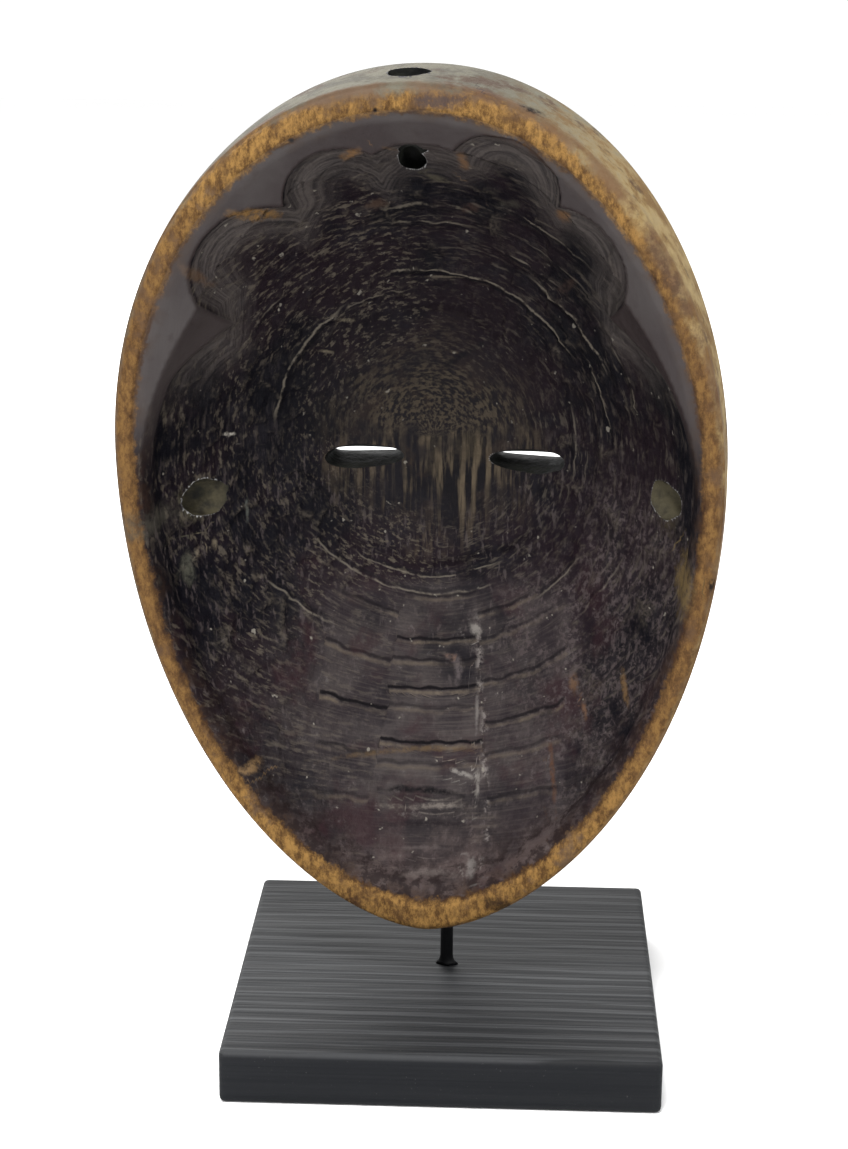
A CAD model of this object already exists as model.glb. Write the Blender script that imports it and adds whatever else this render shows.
"""A carved wooden face mask on a rod stand, seen from its hollow side.

The mask is worked out in millimetres in its own frame: x across, -y towards the face with the rim at 0,
z up from the widest line. place() turns and moves it to where it stands, in metres.
"""

import bmesh
import bpy
import numpy as np
from mathutils import Euler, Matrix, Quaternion, Vector


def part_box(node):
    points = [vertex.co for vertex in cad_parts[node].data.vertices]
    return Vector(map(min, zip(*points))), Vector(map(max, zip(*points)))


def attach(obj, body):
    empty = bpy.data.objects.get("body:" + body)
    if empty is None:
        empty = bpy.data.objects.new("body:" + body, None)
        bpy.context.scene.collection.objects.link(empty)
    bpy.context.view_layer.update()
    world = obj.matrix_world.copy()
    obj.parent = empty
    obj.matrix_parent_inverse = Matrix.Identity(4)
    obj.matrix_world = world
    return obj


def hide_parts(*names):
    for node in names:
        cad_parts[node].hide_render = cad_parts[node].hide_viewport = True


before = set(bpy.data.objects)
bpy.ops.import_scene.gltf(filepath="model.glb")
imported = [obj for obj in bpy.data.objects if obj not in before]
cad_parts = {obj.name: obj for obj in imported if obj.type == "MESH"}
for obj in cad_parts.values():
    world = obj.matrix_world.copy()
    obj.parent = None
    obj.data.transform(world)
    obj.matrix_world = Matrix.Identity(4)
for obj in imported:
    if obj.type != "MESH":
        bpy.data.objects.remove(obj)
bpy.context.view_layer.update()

MM = 0.001

# Camera: the photograph's focal length and height in pixels, and where the camera stands and looks
FOCAL_PIXELS = 2353
PHOTO_HEIGHT = 1149
CAMERA_PLACE = (-0.0168, 0.6887, 0.3348)
CAMERA_LOOK = (0.03507, -0.96334, -0.26598)
CAMERA_ROLL = np.radians(0.519)

# Where the middle of the mask's rim stands, in metres, and how the mask is turned
BASE_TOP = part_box("base")[1].z
MASK_PLACE = Vector((0.0104, 0.0275, BASE_TOP + 0.1648))
MASK_TURN = np.radians(-7.1)
MASK_LEAN = np.radians(-4.2)
MASK_ROLL = np.radians(0.75)

# Outline of the rim
HALF_WIDTH = 89.1
CROWN_RISE = 111.3
CHIN_DROP = 147.4
CROWN_POWER = 0.97
CHIN_POWER = 1.175
AXIS_DRIFT = (0.4, 1.2, 1.4)
WORN_BACK = 0.15

# Outside of the shell
CROWN_SWELL = 2.6
SIDE_SWELL = 0.8
CROWN_SWELL_DEPTH = 28
SIDE_SWELL_DEPTH = 10
RIM_ROUND = 2.4
INNER_ROUND = 1.1
INNER_ROUND_WIDTH = 3
INNER_ROUND_SHARE = 0.22
FRONT_DEPTH = 80
FRONT_MIDDLE_Z = -12
# Outer share of the face side's grid that lies on the swelling side
SIDE_SHARE = 0.14

# Rim and hollow
RIM_WIDTH = 5.8
RIM_EXTRA_CROWN = 1.6
RIM_EXTRA_CHIN = 4.6
BEVEL_WIDTH = 13
BEVEL_START = -0.1
BEVEL_FULL = 0.8
BEVEL_SLOPE = 0.85
EDGE_CHAMFER = 1.2
HOLLOW_DEPTH = 60
HOLLOW_MIDDLE_Z = -16
BOWL_FLATNESS = 2.6
BOWL_FLATNESS_CHIN = 2.0
BOWL_FULLNESS = 0.8
BOWL_FULLNESS_CHIN = 1.0

# Face
EYE_Z = -12.5
EYE_X = 25.5
BROW_Z = 3
BROW_RISE = 16
BROW_SPAN = 74
TEMPLE_X = 66
JAW_Z = -129
JAW_SIDE_POWER = 2.4
JAW_CHIN_POWER = 0.6
FLOOR_DEPTH = 70
FLOOR_MIDDLE_Z = EYE_Z - 42
FLOOR_HALF_WIDTH = 60
FLOOR_RISE = 72
FLOOR_DROP = 74
FLOOR_SIDE_FALL = 13
FLOOR_BROW_FALL = 2
FLOOR_CHIN_FALL = 27
FACE_LEAST_CUT = 2.4
NOSE_TOP_Z = BROW_Z + 8
NOSE_BASE_Z = -63
NOSE_ROOT_HALF = 4.2
NOSE_WING_HALF = 11
NOSE_ROOT_HEIGHT = 4.5
NOSE_HEIGHT = 17
NOSE_FOOT = 4
NOSE_FOOT_SHARE = 0.55
NOSE_TOP_FADE = 4
LID_HALF_LENGTH = 19
LID_HALF_HEIGHT = 8
LID_SWELL = 5
MOUTH_Z = -88
MOUTH_HALF_LENGTH = 17
MOUTH_HALF_HEIGHT = 7
MOUTH_SWELL = 5.5
MOUTH_GROOVE = 2
LEAF_POWER = 0.8
GROOVE_STEEPNESS = 3
STEP_SOFTNESS = 1.6
LEAST_FACING = 0.35
FACE_START_DEPTH = SIDE_SWELL_DEPTH + 4

# Grid lines of the hollow, the face side and the rim
HOLLOW_LINES = 252
FACE_LINES = 148
RIM_RINGS = 8
RIM_CROWDING = 1.3
# The carving fades in over these distances from the hollow's edge
CUT_FADE = (1.5, 6)

# Added to the distance across the rim where it is stored: a corner of a cut that is left at 0 stays dark
ACROSS_SHIFT = 30
# How deep a painted mark reaches through the shell's surface, how it fades beyond its edge, and how far a
# place may be from every mark before it has none
MARK_REACH = 26
MARK_FADE = (1, 3)
MARK_FARTHEST = 99.0
# Middle value of the fine relief, taken off so that it grows and fades about the surface itself
RELIEF_MEAN = 0.6
# Past this distance over the rim a surface has the marks of the face side
MARKED_RIM = 20


def lerp(a, b, share):
    """a + (b - a) share."""
    return a + (b - a) * share


def smooth(value, low, high):
    """0 below low, 1 above high, and 3s^2 - 2s^3 between, with s the share of the way."""
    s = np.clip((value - low) / (high - low), 0, 1)
    return s * s * (3 - 2 * s)


def between(value, rise, fall):
    """Grows from 0 to 1 over the range rise and falls back to 0 over the range fall."""
    return smooth(value, *rise) * (1 - smooth(value, *fall))


def oval(angle, grow):
    """x = (half width + grow) cos^p, z = (rise or drop + grow) sin, with a small drift of the axis."""
    c = np.cos(angle)
    s = np.sin(angle)
    power = np.where(s > 0, CROWN_POWER, CHIN_POWER)
    x = (HALF_WIDTH + grow) * np.sign(c) * np.abs(c) ** power
    z = (np.where(s > 0, CROWN_RISE, CHIN_DROP) + grow) * s
    middle, twist, shoulder = AXIS_DRIFT
    drift = middle * (1 - s**2) + twist * (s - s**3) + shoulder * (s**2 - s**4)
    return x + drift, z


def crown_share(angle):
    """sin(angle) above the widest line, and 0 below it."""
    return np.maximum(0, np.sin(angle))


def chin_share(angle):
    """sin(angle)^2 below the widest line, and 0 above it."""
    return np.maximum(0, -np.sin(angle)) ** 2


def swell(angle):
    """How far the outside swells past the rim, from the sides' value to the crown's."""
    return lerp(SIDE_SWELL, CROWN_SWELL, crown_share(angle))


def swell_depth(angle):
    """How deep the swelling side reaches, from the sides' value to the crown's."""
    return lerp(SIDE_SWELL_DEPTH, CROWN_SWELL_DEPTH, crown_share(angle))


def rim_width(angle):
    """width + crown's extra (crown share) + chin's extra (chin share)^3."""
    return RIM_WIDTH + RIM_EXTRA_CROWN * crown_share(angle) + RIM_EXTRA_CHIN * chin_share(angle) ** 3


def bevel_width(angle):
    """A narrow chamfer below, which widens smoothly with sin(angle) to the full bevel over the crown."""
    return EDGE_CHAMFER + BEVEL_WIDTH * smooth(np.sin(angle), BEVEL_START, BEVEL_FULL)


def bowl_depth(share, angle):
    """edge + (deepest - edge) (1 - share^n)^m, with n and m easing towards the chin."""
    edge = BEVEL_SLOPE * bevel_width(angle)
    chin = chin_share(angle)
    n = lerp(BOWL_FLATNESS, BOWL_FLATNESS_CHIN, chin)
    m = lerp(BOWL_FULLNESS, BOWL_FULLNESS_CHIN, chin)
    return edge + (HOLLOW_DEPTH - edge) * np.maximum(0, 1 - share**n) ** m


def disc_grid(lines):
    """A square grid bent to a disc: radius = max(|u|, |v|), angle = 45 degrees times their ratio."""
    line = np.linspace(-1, 1, lines + 1)
    u, v = np.meshgrid(line, line)
    radius = np.maximum(np.abs(u), np.abs(v))
    safe = np.where(radius > 0, radius, 1)
    quarter = np.pi / 4
    side = np.abs(u) >= np.abs(v)
    angle = np.where(side, quarter * v / safe, quarter * (2 - u / safe))
    angle = np.where(side & (u < 0), np.pi - quarter * v / safe, angle)
    angle = np.where(~side & (v < 0), -np.pi / 2 + quarter * u / safe, angle)
    return radius, angle


def hollow_surface(radius, angle):
    """The bevel for the outer radii, then the bowl: its share is what is left of the radius."""
    width = bevel_width(angle)
    band = width / HALF_WIDTH
    on_bevel = radius > 1 - band
    down = np.where(on_bevel, (1 - radius) / band, 1)
    share = np.where(on_bevel, 1, radius / (1 - band))
    x, z = oval(angle, -rim_width(angle) - width * down)
    depth = np.where(on_bevel, BEVEL_SLOPE * width * down, bowl_depth(share, angle))
    near_edge = np.clip(1 - (1 - radius) * HALF_WIDTH / INNER_ROUND_WIDTH, 0, 1)
    depth = depth + INNER_ROUND * near_edge**2
    return np.stack([x * share, -depth, lerp(HOLLOW_MIDDLE_Z, z, share)], -1)


def rim_surface(turn, angle):
    """Across the rim from its inner edge, at turn 0, to its outer edge, at 1: a flat with rounded edges."""
    width = rim_width(angle)
    outer = RIM_ROUND / width
    past = np.clip((turn - 1 + outer) / outer, 0, 1)
    inner = 1 - np.clip(turn / INNER_ROUND_SHARE, 0, 1)
    depth = RIM_ROUND * (1 - np.sqrt(1 - past**2)) + INNER_ROUND * inner**2
    x, z = oval(angle, -width * (1 - turn) - WORN_BACK)
    return np.stack([x, -depth, z], -1)


def outer_surface(radius, angle):
    """The side swells as a parabola from the rim, then the front follows an elliptic arc to its middle."""
    full = swell_depth(angle)
    out = np.clip((radius - 1 + SIDE_SHARE) / SIDE_SHARE, 0, 1)
    side_depth = lerp(full, RIM_ROUND, out)
    grown = swell(angle) * (1 - (1 - side_depth / full) ** 2)
    arc = np.pi / 2 * (1 - np.clip(radius / (1 - SIDE_SHARE), 0, 1))
    reach = np.cos(arc)
    x, z = oval(angle, np.where(out > 0, grown, swell(angle)) - WORN_BACK)
    depth = np.where(out > 0, side_depth, lerp(full, FRONT_DEPTH - WORN_BACK, np.sin(arc)))
    reach = np.where(out > 0, 1, reach)
    return np.stack([x * reach, -depth, lerp(FRONT_MIDDLE_Z, z, reach)], -1)


def sheet_normals(points):
    """Unit normals of a grid surface, from the cross product of its two differences."""
    across = np.gradient(points, axis=1)
    along = np.gradient(points, axis=0)
    normal = np.cross(across, along)
    return normal / np.maximum(np.linalg.norm(normal, axis=-1, keepdims=True), 1e-9)


def brow_line(x):
    """middle + rise sin(pi |x| / span)."""
    return BROW_Z + BROW_RISE * np.sin(np.pi * np.abs(x) / BROW_SPAN)


def jaw_line(x):
    """From the temple to the jaw by (1 - side^p)^q, with side = |x| / the temple's x."""
    side = np.minimum(1, np.abs(x) / TEMPLE_X)
    return lerp(brow_line(TEMPLE_X), JAW_Z, (1 - side**JAW_SIDE_POWER) ** JAW_CHIN_POWER)


def floor_depth(x, z):
    """deepest - side fall side^2 - brow fall rise^2 - chin fall drop^2."""
    rise = np.maximum(0, z - FLOOR_MIDDLE_Z) / FLOOR_RISE
    drop = np.maximum(0, FLOOR_MIDDLE_Z - z) / FLOOR_DROP
    side = x / FLOOR_HALF_WIDTH
    fall = FLOOR_SIDE_FALL * side**2 + FLOOR_BROW_FALL * rise**2 + FLOOR_CHIN_FALL * drop**2
    return FLOOR_DEPTH - fall


def nose_rise(x, z):
    """Ridge height times a half ellipse across, from the root to the foot."""
    down = np.clip((NOSE_TOP_Z - z) / (NOSE_TOP_Z - NOSE_BASE_Z), 0, 1)
    half = lerp(NOSE_ROOT_HALF, NOSE_WING_HALF, smooth(down, 0, 1))
    foot = lerp(NOSE_FOOT_SHARE, 1, smooth(z, NOSE_BASE_Z, NOSE_BASE_Z + NOSE_FOOT))
    ridge = lerp(NOSE_ROOT_HEIGHT, NOSE_HEIGHT, down) * foot
    ends = smooth(z, NOSE_BASE_Z - STEP_SOFTNESS, NOSE_BASE_Z)
    ends = ends * smooth(-z, -NOSE_TOP_Z - NOSE_TOP_FADE, -NOSE_TOP_Z)
    return ridge * np.sqrt(np.maximum(0, 1 - (x / half) ** 2)) * ends


def leaf_rise(x, z, middle_x, middle_z, half_length, half_height, rise, groove):
    """Rise of a leaf-shaped swelling: sqrt((1 - along^2)(1 - up^2)), less a groove along its middle."""
    along = np.clip((x - middle_x) / half_length, -1, 1)
    half = np.maximum(half_height * (1 - along**2) ** LEAF_POWER, 1e-6)
    up = np.clip(np.abs(z - middle_z) / half, 0, 1)
    crown = np.sqrt((1 - along**2) * (1 - up**2))
    return rise * crown - groove * np.maximum(0, 1 - GROOVE_STEEPNESS * up) * (crown > 0)


def face_relief(points, normals):
    """Cuts the heart-shaped face back and raises the nose, lids and lips from its floor."""
    x, z = points[..., 0], points[..., 2]
    depth = -points[..., 1]
    facing = np.maximum(np.abs(normals[..., 1]), LEAST_FACING)
    above = smooth(brow_line(x) - z, -STEP_SOFTNESS / 2, STEP_SOFTNESS)
    below = smooth(z - jaw_line(x), -STEP_SOFTNESS / 2, STEP_SOFTNESS * 1.5)
    inside = above * below * smooth(TEMPLE_X - np.abs(x), 0, STEP_SOFTNESS)
    floor = np.minimum(floor_depth(x, z), depth - FACE_LEAST_CUT / facing)
    rise = nose_rise(x, z)
    for side in (-1, 1):
        lid = leaf_rise(x, z, side * EYE_X, EYE_Z, LID_HALF_LENGTH, LID_HALF_HEIGHT, LID_SWELL, 0)
        rise = np.maximum(rise, lid)
    mouth = leaf_rise(x, z, 0, MOUTH_Z, MOUTH_HALF_LENGTH, MOUTH_HALF_HEIGHT, MOUTH_SWELL, MOUTH_GROOVE)
    raised = floor + np.maximum(rise, mouth)
    cut = np.where(depth > FACE_START_DEPTH, lerp(depth, raised, inside), depth)
    return np.stack([x, -cut, z], -1), inside


# Carving inside the hollow, in millimetres of the mask's own frame. The strokes lie in rings round a middle
CENTRE_X = 4
CENTRE_Z = -6
RING_STRETCH = 1.06
FAR = 9.0
# Worn disc in the middle: first and last ring of its edge, how far the edge wanders, and depth
DISC_EDGE = (37, 41)
DISC_WANDER = 6
DISC_CUT = 0.9
# Scallops below the bevel: middle x and z, and radius
SCALLOPS = ((21, 75, 17.5), (-0.5, 70.5, 23.5), (-24, 80.5, 17.3), (43.5, 53.5, 21.8), (-39, 56, 20.8))
SCALLOP_CUT = 1.4
SCALLOP_STEEPNESS = 1.8
SCALLOP_REACH = 1.6
# How far inside the bevel the carving starts, at the sides and at the crown, and how it fades in
CARVING_START = (1, 9)
CARVING_START_CHANGE = (0.35, 0.72)
CARVING_FADE = 4
# Chips: how many in a radian, width across the rings, and how far they wander round and across
SCOOPS = (6.5, 6, 1, 1)
FLAKES = (19, 2.3, 3, 1)
STROKES = (3.4, 2.9, 1, 0.6)
# Cells of the noise that bends the rings: how many in a radian, and width
WANDER_CELLS = (4, 9)
# Depth of each kind of chip, and how much it loses along its length
SCOOP_CUT = 0.9
FLAKE_CUT = 0.5
STROKE_CUT = 0.75
CHIP_RUN = 0.5
# Flakes take over across this range of x, and are fewer below this range of -z
LEFT_HALF = (-6, 14)
FLAKES_END = (60, 90)
FLAKES_LOST = 0.6
FLAKES_LEAST = 0.25
# Strips below the eyes: height and depth of each stop mark
CENTRE_STOPS = (
    (-56, 0.5),
    (-69, 0.8),
    (-75, 0.6),
    (-83, 1.1),
    (-88, 0.4),
    (-97.5, 1.2),
    (-103, 0.4),
    (-129, 0.6),
)
LEFT_STOPS = ((-50, 0.6), (-62, 0.5), (-76, 0.6), (-89, 1.1), (-101, 0.5), (-112, 0.4))
RIGHT_STOPS = ((-52, 0.8), (-63, 0.6), (-70, 0.4), (-82, 0.6), (-93, 0.7), (-101, 0.4), (-112, 0.5))
STRIP_STOPS = (CENTRE_STOPS, LEFT_STOPS, RIGHT_STOPS)
LAST_CUT_LENGTH = 12
STOP_FADE = (1.5, 2.3)
# Share of the chips that the strips have lost
STRIP_CALM = 0.85
# Ranges of -z over which the strips and the seam fade in and out
STRIP_TOP = (48, 57)
STRIP_BOTTOM = (122, 134)
SEAM_TOP = (58, 66)
SEAM_BOTTOM = (126, 132)
SEAM_HALF_WIDTH = 1.6
# The strips spread from this -z down over this length: x of the middle one's edges above and below the spread
SPREAD_START = 56
SPREAD_LENGTH = 60
MIDDLE_LEFT = (13, 20)
MIDDLE_RIGHT = (-10, -17)
# Range over which each outer strip fades out to its side
OUTER_LEFT = (35, 38)
OUTER_RIGHT = (38, 41)
# How far the strips' edges wander, and the cells of that noise down and across
EDGE_WANDER = 2.4
EDGE_WANDER_CELLS = (8, 60)
SLOT_X = 4
SLOT_Z = -113.5
SLOT_HALF_LENGTH = 15.5
SLOT_HALF_HEIGHT = 2.8
SLOT_DEPTH = 1.1
# Ledges: height, how far they fall off, and how their light fades beside an arc and, in degrees, at its ends
LEDGE_HEIGHT = 0.8
LEDGE_HALF_WIDTH = 1.6
LEDGE_FADE = (1.3, 2.4)
ARC_FADE = 5
LEDGE_WANDER = 1.1
LEDGE_WANDER_CELL = 3.7
# Light ledges: ring, first and last degree from the top (towards the photo's left), half width, strength
LIGHT_ARCS = (
    (51.5, -54, 12, 0.4, 0.8),
    (59.2, -62, -32, 0.4, 0.8),
    (62.9, -36, -22, 0.3, 0.7),
    (47.0, 32, 79, 0.4, 0.75),
    (45.8, 8, 30, 0.25, 0.5),
    (71.6, -12, 7, 0.6, 0.6),
    (66.6, -11, 7, 0.4, 0.5),
    (76.0, -38, -19, 0.35, 0.6),
    (69.0, -42, -27, 0.3, 0.5),
    (65.6, -77, -57, 0.3, 0.6),
    (55.4, -80, -60, 0.3, 0.6),
    (61.0, 40, 58, 0.3, 0.4),
    (70.0, 84, 92, 0.3, 0.4),
    (76.5, -64, -48, 0.3, 0.4),
    (44.0, -100, -76, 0.3, 0.5),
)
# The same below the middle, in degrees from the bottom
LOW_ARCS = (
    (41.8, -26, 32, 0.3, 0.55),
    (46.6, -20, 50, 0.4, 0.55),
    (62.0, 30, 50, 0.4, 0.6),
    (56.0, -52, -36, 0.35, 0.5),
    (66.0, -62, -44, 0.3, 0.35),
)


# The large sine behind the repeatable numbers, and the shift that gives a cell its second number
LATTICE_WAVE = (127.1, 311.7)
LATTICE_GAIN = 43758.5453
SECOND_NUMBER = 37


def lattice(i, j):
    """A repeatable number from 0 to 1 for each pair of whole numbers: the fraction of a large sine."""
    raw = np.sin(i * LATTICE_WAVE[0] + j * LATTICE_WAVE[1]) * LATTICE_GAIN
    return raw - np.floor(raw)


def cloud(u, v):
    """Value noise: the four nearest lattice numbers, blended by 3s^2 - 2s^3."""
    i = np.floor(u)
    j = np.floor(v)
    a = smooth(u - i, 0, 1)
    b = smooth(v - j, 0, 1)
    low = lerp(lattice(i, j), lattice(i + 1, j), a)
    high = lerp(lattice(i, j + 1), lattice(i + 1, j + 1), a)
    return lerp(low, high, b)


def chips(turn, ring, wander, kind):
    """Overlapping chips, one in each cell round and across the rings: how deep each place lies in its chip.

    Depth is 1 - distance^2 - run times the way along, so a chip is deepest at its stop and then runs out.
    """
    count, width, wander_round, wander_across = kind
    u = turn * count + wander_round * wander
    v = ring / width + wander_across * wander
    i = np.floor(u)
    j = np.floor(v)
    nearest = np.full_like(u, FAR)
    along = np.zeros_like(u)
    for step_u in (-1, 0, 1):
        for step_v in (-1, 0, 1):
            cell_u = i + step_u
            cell_v = j + step_v
            du = u - cell_u - lattice(cell_u, cell_v)
            dv = v - cell_v - lattice(cell_v + SECOND_NUMBER, cell_u)
            distance = du**2 + dv**2
            closer = distance < nearest
            along = np.where(closer, du, along)
            nearest = np.where(closer, distance, nearest)
    return 1 - nearest - CHIP_RUN * along


def ring_of(z):
    """The ring that a height straight below the middle lies on."""
    return (CENTRE_Z - z) / RING_STRETCH


def stops_cut(ring, stops):
    """Saw teeth down a strip: each stop starts a cut that runs out before the next one below it."""
    places = [ring_of(z) for z, _ in stops] + [ring_of(stops[-1][0] - LAST_CUT_LENGTH)]
    cut = np.zeros_like(ring)
    for (_, depth), start, end in zip(stops, places, places[1:]):
        share = (ring - start) / (end - start)
        cut += depth * np.clip(1 - share, 0, 1) * smooth(ring, start - 1, start + 1) * (share < 1)
    return cut


def strips(x, z):
    """How far each place belongs to the middle, the left and the right strip, and to the right one's seam."""
    down = between(-z, STRIP_TOP, STRIP_BOTTOM)
    drop = np.clip((-z - SPREAD_START) / SPREAD_LENGTH, 0, 1)
    wander = EDGE_WANDER * (cloud(z / EDGE_WANDER_CELLS[0], x / EDGE_WANDER_CELLS[1]) - 0.5)
    left = lerp(*MIDDLE_LEFT, drop) + wander
    right = lerp(*MIDDLE_RIGHT, drop) + wander
    left_edge = (left - 0.5, left + 0.5)
    middle = between(x, (right - 0.5, right + 0.5), left_edge)
    left_strip = between(x, left_edge, OUTER_LEFT)
    right_strip = between(-x, (-0.5 - right, 0.5 - right), OUTER_RIGHT)
    seam = np.maximum(0, 1 - np.abs(x - right) / SEAM_HALF_WIDTH) * between(-z, SEAM_TOP, SEAM_BOTTOM)
    return middle * down, left_strip * down, right_strip * down, seam


def scallop_cuts(x, z):
    """The scallops: how far each place is cut, and how far it lies inside their edge.

    The cut is steepness sqrt(1 - (distance / radius)^2), and at most 1. The edge is a half circle on the side
    away from the middle of the rings, and spreads straight towards that middle.
    """
    cut = np.zeros_like(x)
    gap = np.full_like(x, -FAR)
    for middle_x, middle_z, radius in SCALLOPS:
        away = np.hypot(x - middle_x, z - middle_z)
        bowl = SCALLOP_STEEPNESS * np.sqrt(np.maximum(0, 1 - (away / radius) ** 2))
        cut = np.maximum(cut, np.minimum(1, bowl))
        out = np.hypot(middle_x - CENTRE_X, middle_z - CENTRE_Z)
        out_x = (middle_x - CENTRE_X) / out
        out_z = (middle_z - CENTRE_Z) / out
        outward = (x - middle_x) * out_x + (z - middle_z) * out_z
        sideways = (x - middle_x) * out_z - (z - middle_z) * out_x
        shell = radius - np.hypot(sideways, np.maximum(0, outward)) + np.maximum(0, -outward)
        gap = np.maximum(gap, np.where(away < SCALLOP_REACH * radius, shell, -FAR))
    return cut, gap


def ledges(x, z, ring, wavy):
    """Raised ledges along the arcs: their height, the distance across the nearest one and its strength.

    The height falls evenly to both sides. The distance is given so that 0.5 is the arc's half width.
    """
    rise = np.zeros_like(x)
    nearest = np.full_like(x, FAR)
    light = np.zeros_like(x)
    from_top = np.degrees(np.arctan2(x - CENTRE_X, z - CENTRE_Z))
    from_bottom = np.degrees(np.arctan2(x - CENTRE_X, CENTRE_Z - z))
    for arcs, bearing in ((LIGHT_ARCS, from_top), (LOW_ARCS, from_bottom)):
        for radius, first, last, half, strength in arcs:
            start = (first - ARC_FADE, first + ARC_FADE)
            window = strength * between(bearing, start, (last - ARC_FADE, last + ARC_FADE))
            rise += LEDGE_HEIGHT * window * np.maximum(0, 1 - np.abs(ring - radius) / LEDGE_HALF_WIDTH)
            across = wavy - radius
            gap = across * 0.5 / half
            nearer = (np.abs(gap) < np.abs(nearest)) & (window > 0)
            nearest = np.where(nearer, gap, nearest)
            light = np.where(nearer, window * (1 - smooth(np.abs(across), *LEDGE_FADE)), light)
    return rise, nearest, light


def stop_marks(wavy, strip_shares):
    """Distance across the nearest stop mark of the strips, and its depth, which fades out beside it."""
    nearest = np.full_like(wavy, FAR)
    strength = np.zeros_like(wavy)
    for share, stops in zip(strip_shares, STRIP_STOPS):
        for stop_z, depth in stops:
            gap = wavy - ring_of(stop_z)
            nearer = (np.abs(gap) < np.abs(nearest)) & (share > 0.5)
            nearest = np.where(nearer, gap, nearest)
            fading = 1 - smooth(np.abs(gap), *STOP_FADE)
            strength = np.where(nearer, depth * share * fading, strength)
    return nearest, strength


def slot_cut(x, z):
    """The slot near the chin: depth sqrt(1 - across^4 - up^2), which fades out over its lower half."""
    slot = ((x - SLOT_X) / SLOT_HALF_LENGTH) ** 4 + ((z - SLOT_Z) / SLOT_HALF_HEIGHT) ** 2
    return SLOT_DEPTH * np.sqrt(np.maximum(0, 1 - slot)) * smooth(z, SLOT_Z - SLOT_HALF_HEIGHT, SLOT_Z + 1)


def carving(x, z, bevel_gap):
    """Depth of the carving and the zones that its finish follows.

    It adds up the scallops, the chips, which are finest on the left, long strokes on the right, the strips'
    saw teeth, ledges along the light arcs and the small slot near the chin.
    """
    ring = np.hypot(x - CENTRE_X, (z - CENTRE_Z) / RING_STRETCH)
    turn = np.arctan2(x - CENTRE_X, z - CENTRE_Z)
    scalloped, scallop_gap = scallop_cuts(x, z)
    start = lerp(*CARVING_START, smooth(np.cos(turn), *CARVING_START_CHANGE))
    scallop_gap = np.maximum(scallop_gap, bevel_gap - start)
    carved = np.maximum(scalloped, smooth(bevel_gap, start, start + CARVING_FADE))
    wander = cloud(turn * WANDER_CELLS[0], ring / WANDER_CELLS[1]) - 0.5
    scoop = chips(turn, ring, wander, SCOOPS)
    flake = chips(turn, ring, wander, FLAKES)
    stroke = chips(turn, ring, wander, STROKES)
    left = smooth(x, *LEFT_HALF)
    outside_disc = smooth(ring + DISC_WANDER * wander, *DISC_EDGE)
    *strip_shares, seam = strips(x, z)
    loose = outside_disc * (1 - STRIP_CALM * sum(strip_shares)) * carved
    rough = left * (1 - FLAKES_LOST * smooth(-z, *FLAKES_END)) + FLAKES_LEAST
    cut = SCALLOP_CUT * carved * outside_disc + DISC_CUT * (1 - outside_disc)
    cut += loose * (SCOOP_CUT * scoop + FLAKE_CUT * rough * flake + STROKE_CUT * (1 - left) * stroke)
    for share, stops in zip(strip_shares, STRIP_STOPS):
        cut += share * stops_cut(ring, stops)
    wavy = ring + LEDGE_WANDER * (cloud(x / LEDGE_WANDER_CELL, z / LEDGE_WANDER_CELL) - 0.5)
    rise, ledge, ledge_light = ledges(x, z, ring, wavy)
    stop_line, stop_depth = stop_marks(wavy, strip_shares)
    cut += slot_cut(x, z) - rise
    zones = {
        "ring": ring,
        "side": np.sin(turn),
        "up": np.cos(turn),
        "disc": 1 - outside_disc,
        "carved": carved,
        "ledge": ledge,
        "ledge_light": ledge_light,
        "stop_line": stop_line,
        "stop_depth": stop_depth,
        "scallop_gap": scallop_gap + FAR,
        "left": left,
        "crest": np.clip(1 - lerp(scoop, lerp(stroke, flake, left), 0.5), 0, 1) * loose,
        "strip_middle": strip_shares[0],
        "strip_left": strip_shares[1],
        "strip_right": strip_shares[2],
        "seam": seam,
    }
    return cut, zones


def grid_faces(columns, rows, first=0, flip=False):
    """Corner numbers of every quad of a grid whose rows follow one another."""
    j, i = np.meshgrid(np.arange(rows), np.arange(columns), indexing="ij")
    a = first + j * (columns + 1) + i
    quads = np.stack([a, a + 1, a + columns + 2, a + columns + 1], -1).reshape(-1, 4)
    return quads[:, ::-1] if flip else quads


def border_order(lines):
    """Numbers of a square grid's border points, anticlockwise from the lower right corner."""
    index = np.arange((lines + 1) ** 2).reshape(lines + 1, lines + 1)
    right = index[:-1, -1]
    top = index[-1, :0:-1]
    left = index[:0:-1, 0]
    bottom = index[0, :-1]
    return np.concatenate([right, top, left, bottom])


def stitch(inner, outer):
    """Triangles between two closed loops of different counts, walking both by the share of the way round."""
    n, m = len(inner), len(outer)
    a = np.arange(1, n + 1) / n
    b = np.arange(1, m + 1) / m
    on_b = np.searchsorted(b, a - 1e-9)
    on_a = np.searchsorted(a, b + 1e-9)
    first = np.stack([inner[np.arange(n)], inner[np.arange(1, n + 1) % n], outer[on_b % m]], 1)
    second = np.stack([outer[np.arange(m)], inner[on_a % n], outer[np.arange(1, m + 1) % m]], 1)
    return np.concatenate([first, second])


def mask_turn():
    """Rotation from the mask's own frame to the part's."""
    lean = Euler((0, 0, MASK_TURN)).to_matrix() @ Euler((MASK_LEAN, 0, 0)).to_matrix()
    return lean @ Euler((0, MASK_ROLL, 0)).to_matrix()


def place(points):
    """Mask frame in millimetres to where the mask stands, in metres."""
    turn = np.array(mask_turn())
    return points.reshape(-1, 3) @ turn.T * MM + np.array(MASK_PLACE)


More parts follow.
